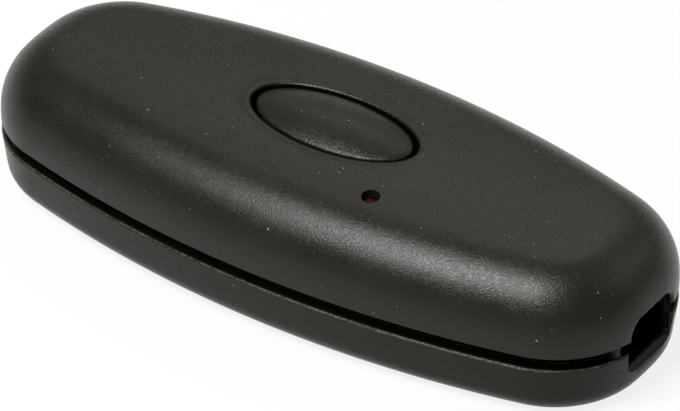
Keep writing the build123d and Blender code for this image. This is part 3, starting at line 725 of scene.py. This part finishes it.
rib_top = 0.0042
board_low, board_high = (corner.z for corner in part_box("circuit_board"))
board_screw_x = half_length - 0.022
board_screw_y = 0.0115
board_screw_places = [(side * board_screw_x, side * board_screw_y) for side in ends]
support_places = [(side * (board_screw_x - 0.006), -side * board_screw_y) for side in ends]
small_pilot = 0.0023
# Pale colour for the lip line: partly painted highlight, partly worn nicks.
lip_sheen_and_wear = (0.30, 0.29, 0.26)


def taper_inset(level):
    """How far the tapered side has drawn in at a height below the rim."""
    return (seam_low - level) * tan(lower_taper)


foot_high = foot_round * (1 - sin(lower_taper))
foot_middle = foot_round * cos(lower_taper) + taper_inset(foot_high)
mesh, plan, ring = plan_mesh(foot_middle + foot_band, 0)
bmesh.ops.contextual_create(mesh, geom=ring)
section = [(foot_middle + foot_lead, 0)]
for k in range(foot_steps + 1):
    turn = -pi / 2 - (pi / 2 - lower_taper) * k / foot_steps
    section.append((foot_middle + foot_round * cos(turn), foot_round + foot_round * sin(turn)))
for share in (0.5, 1.0):
    level = foot_high * (1 - share) + (seam_low - rim_bevel) * share
    section.append((taper_inset(level), level))
section += [(rim_bevel, seam_low), (lip_width, seam_low), (lip_width + groove_lean, seam_low - groove_depth),
            (tongue_inset, seam_low - groove_depth), (tongue_inset, step_height), (wall, step_height),
            (wall, seam_low), (wall + taper_inset(floor_height), floor_height),
            (wall + taper_inset(floor_height) + foot_band, floor_height)]
ring = grow(mesh, ring, [flat_ring(plan, inset, level) for inset, level in section])
bmesh.ops.contextual_create(mesh, geom=ring)
lower_shell = to_object(mesh, "lower_half")

in_floor = floor_height / 2
fittings = bmesh.new()
rods(fittings, boss_places, recess_width + 2 * recess_wall, in_floor, recess_depth + recess_floor)
rods(fittings, board_screw_places, post_width, in_floor, board_low)
rods(fittings, support_places, post_width / 2, in_floor, board_low)
rods(fittings, clamp_places, post_width, in_floor, clamp_post_top)
for side in ends:
    for k in (-1, 0, 1):
        middle = side * clamp_x + k * rib_pitch
        block(fittings, (middle - rib_width / 2, -rib_length / 2, in_floor),
              (middle + rib_width / 2, rib_length / 2, rib_top))
carved(lower_shell, fittings, "UNION")
rods_carved(lower_shell, "UNION", (boss_places, boss_width + foot_play, recess_depth, boss_low))
rods_carved(lower_shell, "DIFFERENCE", (boss_places, recess_width, -overrun, recess_depth, 64),
            (board_screw_places, small_pilot, floor_height, board_low + overrun),
            (clamp_places, small_pilot, clamp_post_top - clamp_pilot_depth, clamp_post_top + overrun))
rods_carved(lower_shell, "DIFFERENCE",
            (boss_places, shank_hole, recess_depth - overrun / 2, boss_low + overrun))
carved(lower_shell, port_tools(low_port_width - 2 * low_mouth_inset, port_low, step_height + overrun,
                               "low", low_port_corner, low_mouth_round), "DIFFERENCE")
smoothed(lower_shell, radians(38))


def lip_sheen_and_nicks(tree):
    """Mask of a fine light line along the tray's outer lip: a painted highlight along the rim, with nicks
    that handling has worn into it.
    """
    level = along(tree, "Z")
    return times(tree, ranged(tree, level, seam_low - 0.00018, seam_low - 0.00013, 0, 1),
                 calc(tree, "LESS_THAN", level, seam_low - 0.00001),
                 ranged(tree, noise(tree, 1500.0), 0.40, 0.62, 0.03, 0.16))


def tongue_shade(tree):
    """Mask of the tongue and of everything else that stands above the tray's lip, where painted shade darkens
    the seam.
    """
    return calc(tree, "GREATER_THAN", along(tree, "Z"), seam_low + 0.00002)


# Painted shade darkens the tongue in the seam and the port walls of the tray.
tray_black = moulded_black(
    "tray_black", ((0.0056, 0.0054, 0.0032), (0.0086, 0.0082, 0.0050)), (0.24, 0.35), 0.00006, 0.08,
    0.6 * black_shine, ((lip_sheen_and_nicks, lip_sheen_and_wear), (tongue_shade, gap_shade_paint), (port_shade, gap_shade_paint)))
dressed(lower_shell, tray_black)
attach(lower_shell, "housing")
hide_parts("lower_shell")


# The push button is one oval cap in the same plastic, and its domed top stands a little above the shell.
# A flange below keeps it in its hole, and a crossed rib and pad under it press the switch.
button_low, button_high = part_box("push_button")
button_top = button_high.z
button_a = hole_a - 0.00080
button_b = hole_b - 0.00062
button_round = 0.0005
button_points = 144
button_wall = 0.0014
dome_rise = 0.00168
dome_power = 2.1
dome_steps = 14
dome_eye = 0.02
edge_slope = 0.5
edge_steps = 8
under_steps = 8
flange_reach = 0.0015
flange_high = collar_low
flange_low = collar_low - 0.001
stem_reach = 0.003
stem_rib = 0.0012
pad_top = button_low.z + 0.001
rib_sink = 0.0005


def dome_height(x, y, sunk=0.0):
    """Height of the button's pillow shaped top, or of a surface some way inside it."""
    share = sqrt((x / button_a) ** 2 + (y / button_b) ** 2)
    return button_top - sunk - dome_rise * share ** dome_power


def button_oval(half_a, half_b, inset, level):
    """An oval drawn in by an even width, at one height."""
    places = []
    for k in range(button_points):
        angle = 2 * pi * k / button_points
        way = Vector((cos(angle) / half_a, sin(angle) / half_b, 0)).normalized()
        places.append(Vector((half_a * cos(angle), half_b * sin(angle), level)) - way * inset)
    return places


def domed(oval, share, sunk=0.0):
    """An oval shrunk to a share and laid on the dome, or some way inside it."""
    return [Vector((p.x * share, p.y * share, dome_height(p.x * share, p.y * share, sunk))) for p in oval]


under = button_oval(button_a - button_wall, button_b - button_wall, 0, flange_low)
mesh = bmesh.new()
seat = mesh.verts.layers.int.new("seat")
bmesh.ops.create_circle(mesh, segments=button_points, radius=1)
for k, point in enumerate(sorted(mesh.verts, key=lambda v: atan2(v.co.y, v.co.x) % (2 * pi))):
    point[seat] = k
    point.co = Vector((under[k].x * dome_eye, under[k].y * dome_eye, dome_height(0, 0, button_wall)))
ring = list(mesh.edges)
bmesh.ops.contextual_create(mesh, geom=ring)
rings = [domed(under, k / under_steps, button_wall) for k in range(1, under_steps + 1)]
rings.append(under)
rings += [button_oval(button_a, button_b, inset, level)
          for inset, level in ((-flange_reach, flange_low), (-flange_reach, flange_high), (0, flange_high))]
edge_low = button_top - dome_rise - button_round * (1 - sin(edge_slope)) / cos(edge_slope)
for k in range(edge_steps + 1):
    turn = k / edge_steps * (pi / 2 - edge_slope)
    rings.append(button_oval(button_a, button_b, button_round * (1 - cos(turn)),
                             edge_low + button_round * sin(turn)))
top_edge = rings[-1]
rings += [domed(top_edge, 1 - k / dome_steps * (1 - dome_eye)) for k in range(1, dome_steps + 1)]
ring = grow(mesh, ring, rings)
bmesh.ops.contextual_create(mesh, geom=ring)
button = to_object(mesh, "button_cap")
cap_middle = dome_height(0, 0, button_wall / 2)
for reach_x, reach_y, drop in ((stem_reach, stem_rib / 2, 0.0004), (stem_rib / 2, stem_reach, 0.0008)):
    rib = bmesh.new()
    block(rib, (-reach_x, -reach_y, pad_top - rib_sink), (reach_x, reach_y, cap_middle - drop))
    carved(button, rib, "UNION")
rods_carved(button, "UNION", ([(0, 0)], 2 * stem_reach, button_low.z, pad_top))
smoothed(button, radians(40))


def skirt_shade(tree):
    """Mask of the button's skirt and flange, down in the gap, where painted shade darkens them."""
    edge = button_top - dome_rise
    return ranged(tree, along(tree, "Z"), edge - 0.0008, edge - 0.0005, 1, 0)


# Painted shade darkens the button's skirt down in the gap.
button_black = moulded_black(
    "button_black", ((0.0045, 0.0043, 0.0028), (0.0072, 0.0069, 0.0044)), (0.21, 0.38), 0.00008, 0.14,
    black_shine, ((skirt_shade, gap_shade_paint),))
dressed(button, button_black)
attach(button, "button")
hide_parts("push_button")


# The indicator light is a 3 mm round lamp cast in deep red resin, with a flange, a body and a domed tip.
# It stands on the board on its own leads, and its tip sits in the window just below the shell's surface.
lamp_points = 48
lamp_radius = 0.0015
flange_radius = 0.0019
flange_top = light_low.z + 0.001
dome_steps = 12
resin_shine = 0.10


def lathed(name, x, y, profile, steps):
    """A turned form: a profile of radii and heights spun round an upright line."""
    mesh = bmesh.new()
    points = [mesh.verts.new((x + radius, y, level)) for radius, level in profile]
    edges = [mesh.edges.new(pair) for pair in zip(points, points[1:])]
    bmesh.ops.spin(mesh, geom=points + edges, cent=(x, y, 0), axis=(0, 0, 1), angle=2 * pi, steps=steps,
                   use_merge=True)
    return to_object(mesh, name)


profile = [(0, light_low.z), (flange_radius, light_low.z), (flange_radius, flange_top),
           (lamp_radius, flange_top)]
for k in range(dome_steps + 1):
    turn = k / dome_steps * pi / 2
    profile.append((lamp_radius * cos(turn), light_high.z - lamp_radius + lamp_radius * sin(turn)))
lamp = lathed("red_lamp", *light_place, profile, lamp_points)
smoothed(lamp, radians(38))
red_resin, tree, shader = new_material("red_resin")
shader.inputs["Specular IOR Level"].default_value = resin_shine
cloud = ranged(tree, noise(tree, 900.0, 3.0), 0.35, 0.65, 0, 1)
resin = mixed(tree, cloud, (0.010, 0.0006, 0.0006), (0.018, 0.0010, 0.0010))
haze = ranged(tree, noise(tree, 2500.0), 0.3, 0.7, 0.46, 0.58)
relief = placed(tree, "Bump", strength=0.4, distance=0.000005)
joined(tree, (*resin, shader, "Base Color"), (*haze, shader, "Roughness"),
       (*noise(tree, 1800.0), relief, "Height"), (relief, "Normal", shader, "Normal"))
dressed(lamp, red_resin)
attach(lamp, "housing")
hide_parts("indicator_led")


# The two housing screws are zinc plated steel with low cross head heads, turned, headed and thread rolled.
# They sit in recesses in the underside and draw the upper shell's bosses down onto the tray.
screw_low, screw_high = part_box("housing_screws")
head_radius = 0.0028
head_height = 0.0020
head_edge = 0.0008
shank_radius = 0.00145
thread_root = shank_radius - 0.00022
thread_pitch = 0.0011
thread_low = screw_low.z + head_height + 0.0064
tip_radius = 0.0003
tip_taper = 0.0006
cross_reach = 0.0035
cross_width = 0.0009
cross_depth = 0.0012
screw_points = 64


def mottled_finish():
    """Group for any cast, rolled or painted surface: two tones, uneven gloss and a fine relief."""
    inputs = surface_inputs | {"Scale": 900.0, "Stretch": (1, 1, 1)}
    group, ins, outs = finish_group("mottled_finish", inputs, surface_outputs)
    drawn = in_object(group, "Mapping")
    fine = placed(group, "TexNoise", detail=3.0)
    broad = placed(group, "TexNoise", scale=160.0, detail=2.0)
    joined(group, (ins, "Stretch", drawn, "Scale"), (ins, "Scale", fine, "Scale"),
           (drawn, "Vector", fine, "Vector"), (drawn, "Vector", broad, "Vector"))
    tone = calc(group, "ADD", ranged(group, (fine, "Fac"), 0.35, 0.65, 0, 0.55),
                ranged(group, (broad, "Fac"), 0.35, 0.65, 0, 0.45))
    return put_out(group, ins, outs, tone, (fine, "Fac"), (fine, "Fac"))


mottle = mottled_finish()


def finished(name, dark, light, smoothest, roughest, bump, scale=900.0, stretch=(1, 1, 1), marks=(), **shine):
    """A material from the mottled group, with painted marks and its plain shine values."""
    shine = {label.replace("_", " ").title(): value for label, value in shine.items()}
    return surfaced(name, mottle, (dark, light), (smoothest, roughest), bump, marks, shine, Scale=scale,
                    Stretch=stretch)


def band(axis, middle, reach):
    """A mask maker for a stripe across one axis, with a slightly soft edge."""
    def mask(tree):
        off = calc(tree, "ABSOLUTE", calc(tree, "SUBTRACT", along(tree, axis), middle))
        return ranged(tree, off, reach * 0.94, reach * 1.06, 1, 0)
    return mask


def wrapped(material, *nodes):
    """Gives CAD nodes their finish, in every slot."""
    for node in nodes:
        dressed(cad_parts[node], material)


seat_level = screw_low.z + head_height
outline = [(0, screw_low.z), (head_radius - head_edge, screw_low.z)]
for turn in (radians(22), radians(45), radians(68), radians(90)):
    outline.append((head_radius - head_edge * (1 - sin(turn)), screw_low.z + head_edge * (1 - cos(turn))))
outline += [(head_radius, seat_level), (shank_radius, seat_level), (shank_radius, thread_low)]
for k in range(int((screw_high.z - 0.0008 - thread_low) / thread_pitch)):
    outline += [(radius, thread_low + (k + rise) * thread_pitch) for radius, rise in
                ((thread_root, 0.30), (thread_root, 0.60), (shank_radius, 0.95), (shank_radius, 1.0))]
outline += [(thread_root, screw_high.z - tip_taper), (tip_radius, screw_high.z), (0, screw_high.z)]

zinc_steel = finished(
    "zinc_steel", (0.46, 0.46, 0.43), (0.66, 0.65, 0.60), 0.24, 0.42, 0.000004, 1400.0, metallic=1.0)
screw_pieces = []
for name, (x, y) in zip(("housing_screw_lamp", "housing_screw_mains"), reversed(boss_places)):
    screw = lathed(name, x, y, outline, screw_points)
    for size_x, size_y in ((cross_reach, cross_width), (cross_width, cross_reach)):
        recess = bmesh.new()
        block(recess, (x - size_x / 2, y - size_y / 2, screw_low.z - overrun),
              (x + size_x / 2, y + size_y / 2, screw_low.z + cross_depth))
        carved(screw, recess, "DIFFERENCE")
    smoothed(screw, radians(35))
    dressed(screw, zinc_steel)
    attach(screw, "housing")
    screw_pieces.append(screw)
for screw in screw_pieces:
    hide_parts("housing_screws")


# The cord clamps are saddle bars moulded in dark grey nylon, one over each cord where it enters.
# Each is held down on two posts by slotted zinc plated screws, and its teeth bite into the cord's jacket.
clamp_nylon = finished(
    "clamp_nylon", (0.045, 0.045, 0.046), (0.075, 0.075, 0.074), 0.42, 0.58, 0.00002, 2600.0)
wrapped(clamp_nylon, "mains_cord_clamp", "lamp_cord_clamp")
wrapped(zinc_steel, "mains_clamp_screws", "lamp_clamp_screws")


# The circuit board is woven glass laminate under green solder mask, routed round and drilled.
# Two screws hold it on its posts, and the raw laminate shows pale along its cut edge.
weave_scale = 1500.0
track_scale = 170.0
mask_skin = 0.00012


def weave_lines(tree):
    """Mask of the glass cloth that shows faintly through the solder mask."""
    threads = [(in_object(tree, "TexWave", bands_direction=axis, scale=weave_scale, distortion=0.6,
                          detail=1.0), "Fac") for axis in ("X", "Y")]
    return ranged(tree, times(tree, *threads), 0.2, 0.9, 0, 0.35)


def copper_lines(tree):
    """Mask of the wide copper tracks that lie under the solder mask."""
    tracks = in_object(tree, "TexVoronoi", feature="DISTANCE_TO_EDGE", scale=track_scale,
                       randomness=0.75)
    return ranged(tree, (tracks, "Distance"), 0.10, 0.13, 0, 0.55)


def cut_edge(tree):
    """Mask of the raw edge between the two masked faces."""
    return within(tree, "Z", board_low + mask_skin, board_high - mask_skin)


board_marks = ((copper_lines, (0.035, 0.15, 0.045)), (weave_lines, (0.05, 0.16, 0.06)),
               (cut_edge, (0.33, 0.34, 0.20)))
board_green = finished(
    "board_green", (0.015, 0.075, 0.022), (0.025, 0.105, 0.032), 0.24, 0.36, 0.000006, 1200.0,
    marks=board_marks, coat_weight=0.3)
wrapped(board_green, "circuit_board")
wrapped(zinc_steel, "board_screws")


# The switch is a square push switch: a black base, a spring steel cover and a white stem, clipped together.
# Its stem moves down when the button is pressed, and its four tinned legs are soldered in the board.
switch_black = finished(
    "switch_black", (0.032, 0.032, 0.033), (0.055, 0.055, 0.055), 0.38, 0.52, 0.00001, 2400.0)
cover_steel = finished(
    "cover_steel", (0.52, 0.52, 0.50), (0.72, 0.72, 0.69), 0.26, 0.40, 0.000003, 1800.0, (1, 14, 14),
    metallic=1.0)
stem_white = finished("stem_white", (0.64, 0.63, 0.58), (0.76, 0.75, 0.71), 0.34, 0.46, 0.000008, 1500.0)
tinned = finished(
    "tinned", (0.56, 0.56, 0.55), (0.74, 0.74, 0.73), 0.20, 0.38, 0.000006, 1900.0, metallic=1.0)
wrapped(switch_black, "switch_housing")
wrapped(cover_steel, "switch_cover_plate")
wrapped(stem_white, "switch_plunger")
wrapped(tinned, "switch_contacts")


# Leads and pins are tinned copper wire, cut, bent and soldered through the board.
# The same bright tin covers the legs of every part, whatever its body is made of.
wrapped(tinned, "capacitor_leads", "chip_pins", "dropper_leads", "feedback_leads", "fuse_leads",
        "led_leads", "rectifier_leads", "reservoir_leads", "triac_leads", "zener_leads",
        "lamp_terminal_pins", "mains_terminal_pins")


# The power switch lies on a folded aluminium sink: a moulded epoxy body on a tinned copper tab.
# A screw and nut through the tab and the board hold the stack together.
epoxy_black = finished(
    "epoxy_black", (0.028, 0.028, 0.030), (0.052, 0.052, 0.055), 0.48, 0.64, 0.00002, 3200.0)
sink_aluminium = finished(
    "sink_aluminium", (0.60, 0.60, 0.61), (0.76, 0.76, 0.77), 0.30, 0.48, 0.000004, 1500.0, (18, 1, 18),
    metallic=1.0)
wrapped(epoxy_black, "triac_body")
wrapped(tinned, "triac_tab")
wrapped(sink_aluminium, "heat_sink")
wrapped(zinc_steel, "triac_screw", "triac_nut")


# The choke is a ring of pressed iron powder, painted yellow, with a sleeve and enamelled copper turns.
# It stands flat on the board on its two wire ends.
core_low, core_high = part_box("choke_core")
choke_middle = (core_low + core_high) / 2
strand_count = 180.0


def strand_shade(tree):
    """Mask of fine lines of painted shade between neighbouring strands, running round each turn."""
    centred = in_object(tree, "Mapping", location=(-choke_middle.x, -choke_middle.y, 0))
    turned = placed(tree, "TexGradient", gradient_type="RADIAL")
    joined(tree, (centred, "Vector", turned, "Vector"))
    fine = calc(tree, "FRACT", times(tree, (turned, "Fac"), strand_count))
    return ranged(tree, fine, 0.0, 0.18, 0.6, 0)


core_yellow = finished("core_yellow", (0.52, 0.42, 0.08), (0.70, 0.58, 0.14), 0.40, 0.55, 0.00002, 2000.0)
# Painted shade lines mark the crevices between the winding's strands.
copper_enamel = finished(
    "copper_enamel", (0.32, 0.10, 0.035), (0.48, 0.17, 0.07), 0.20, 0.34, 0.000008, 1400.0,
    marks=((strand_shade, (0.10, 0.03, 0.012)),), metallic=0.8, coat_weight=0.6)
wrapped(core_yellow, "choke_core")
wrapped(copper_enamel, "choke_winding")


# The film capacitor is a box case filled with resin, and the round one an aluminium can in a blue sleeve.
# The sleeve leaves the can's crimped top bare, and a pale stripe down it marks the negative lead.
tank_low, tank_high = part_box("reservoir_capacitor")
tank_middle = (tank_low + tank_high) / 2
bare_reach = 0.0026
bare_depth = 0.0003
stripe_width = 0.0009
stripe_start = 0.002


def bare_top(tree):
    """Mask of the bare metal inside the sleeve's rolled top edge."""
    off_x = calc(tree, "SUBTRACT", along(tree, "X"), tank_middle.x)
    off_y = calc(tree, "SUBTRACT", along(tree, "Y"), tank_middle.y)
    inside = calc(tree, "LESS_THAN", squares(tree, off_x, off_y), bare_reach ** 2)
    upper = calc(tree, "GREATER_THAN", along(tree, "Z"), tank_high.z - bare_depth)
    return times(tree, inside, upper)


def sleeve_stripe(tree):
    """Mask of the pale stripe down one side of the sleeve."""
    near_side = calc(tree, "GREATER_THAN", along(tree, "X"), tank_middle.x + stripe_start)
    return times(tree, band("Y", tank_middle.y, stripe_width)(tree), near_side)


case_yellow = finished(
    "case_yellow", (0.48, 0.38, 0.07), (0.62, 0.51, 0.12), 0.26, 0.38, 0.00001, 1100.0, coat_weight=0.2)
sleeve_blue = finished(
    "sleeve_blue", (0.022, 0.032, 0.085), (0.038, 0.052, 0.125), 0.24, 0.36, 0.000008, 1000.0,
    coat_weight=0.25, marks=((sleeve_stripe, (0.45, 0.47, 0.52)), (bare_top, (0.66, 0.66, 0.67))))
wrapped(case_yellow, "suppression_capacitor")
wrapped(sleeve_blue, "reservoir_capacitor")


# The fuse is a small thermal one in a brown red phenolic case that stands beside the power switch.
# Its case is pressed and a little uneven, and painted shade darkens its foot where it meets the board.
# A band of painted shade round the foot of the case.
fuse_foot_shade = band("Z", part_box("fuse")[0].z, 0.0006)
fuse_brown = finished(
    "fuse_brown", (0.15, 0.032, 0.018), (0.24, 0.055, 0.032), 0.34, 0.50, 0.000015, 1700.0,
    marks=((fuse_foot_shade, (0.11, 0.028, 0.018)),))
wrapped(fuse_brown, "fuse")


# The resistors are lacquered ceramic rods with colour rings that give their values.
# Both lie on the board on bent leads, the dropper being the larger one.
ring_red = (0.42, 0.03, 0.02)
ring_brown = (0.11, 0.04, 0.02)
ring_orange = (0.62, 0.20, 0.03)
ring_gold = (0.50, 0.36, 0.10)
ring_places = (0.14, 0.38, 0.52, 0.84)
ring_reach = 0.028


def ringed(node, name, *paints):
    """A resistor's lacquer with rings at shares of its length."""
    low_end, high_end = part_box(node)
    length = high_end.x - low_end.x
    marks = [(band("X", low_end.x + share * length, ring_reach * length), paint)
             for share, paint in zip(ring_places, paints)]
    lacquer = finished(name, (0.42, 0.33, 0.20), (0.56, 0.45, 0.30), 0.34, 0.48, 0.00001, 1600.0, marks=marks)
    wrapped(lacquer, node)


ringed("dropper_resistor", "dropper_lacquer", ring_orange, ring_orange, ring_brown, ring_gold)
ringed("feedback_resistor", "feedback_lacquer", ring_brown, ring_red, ring_orange, ring_gold)


# The rectifier is a diode in black epoxy with a silver ring at its cathode.
# The smaller zener is glass, its copper coloured inside showing through, with a black ring.
cathode_ring = band("X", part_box("rectifier_diode")[0].x + 0.0009, 0.0004)
zener_ring = band("X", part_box("zener_diode")[0].x + 0.0007, 0.0003)
diode_epoxy = finished(
    "diode_epoxy", (0.035, 0.035, 0.036), (0.060, 0.060, 0.060), 0.38, 0.52, 0.00001, 2600.0,
    marks=((cathode_ring, (0.60, 0.60, 0.58)),))
amber_glass = finished(
    "amber_glass", (0.38, 0.11, 0.035), (0.55, 0.19, 0.06), 0.06, 0.14, 0.000004, 900.0,
    marks=((zener_ring, (0.02, 0.02, 0.02)),), coat_weight=1.0)
wrapped(diode_epoxy, "rectifier_diode")
wrapped(amber_glass, "zener_diode")


# The control chip is a moulded epoxy package on two rows of tinned legs, and it sets the lamp's level.
# Its top is finely matt from the mould, and it carries no marking here.
wrapped(epoxy_black, "control_chip")


# The terminal blocks are blue moulded polyamide with brass rising cages inside.
# A plated screw over each cage clamps a conductor, one block for the mains side and one for the lamp side.
terminal_blue = finished(
    "terminal_blue", (0.045, 0.13, 0.29), (0.075, 0.19, 0.37), 0.32, 0.46, 0.00001, 1800.0)
cage_brass = finished(
    "cage_brass", (0.52, 0.38, 0.15), (0.70, 0.54, 0.25), 0.24, 0.38, 0.000005, 1500.0, (1, 8, 8),
    metallic=1.0)
for end in ("mains", "lamp"):
    wrapped(terminal_blue, end + "_terminal_housing")
    wrapped(cage_brass, end + "_terminal_clamps")
    wrapped(zinc_steel, end + "_terminal_screws")
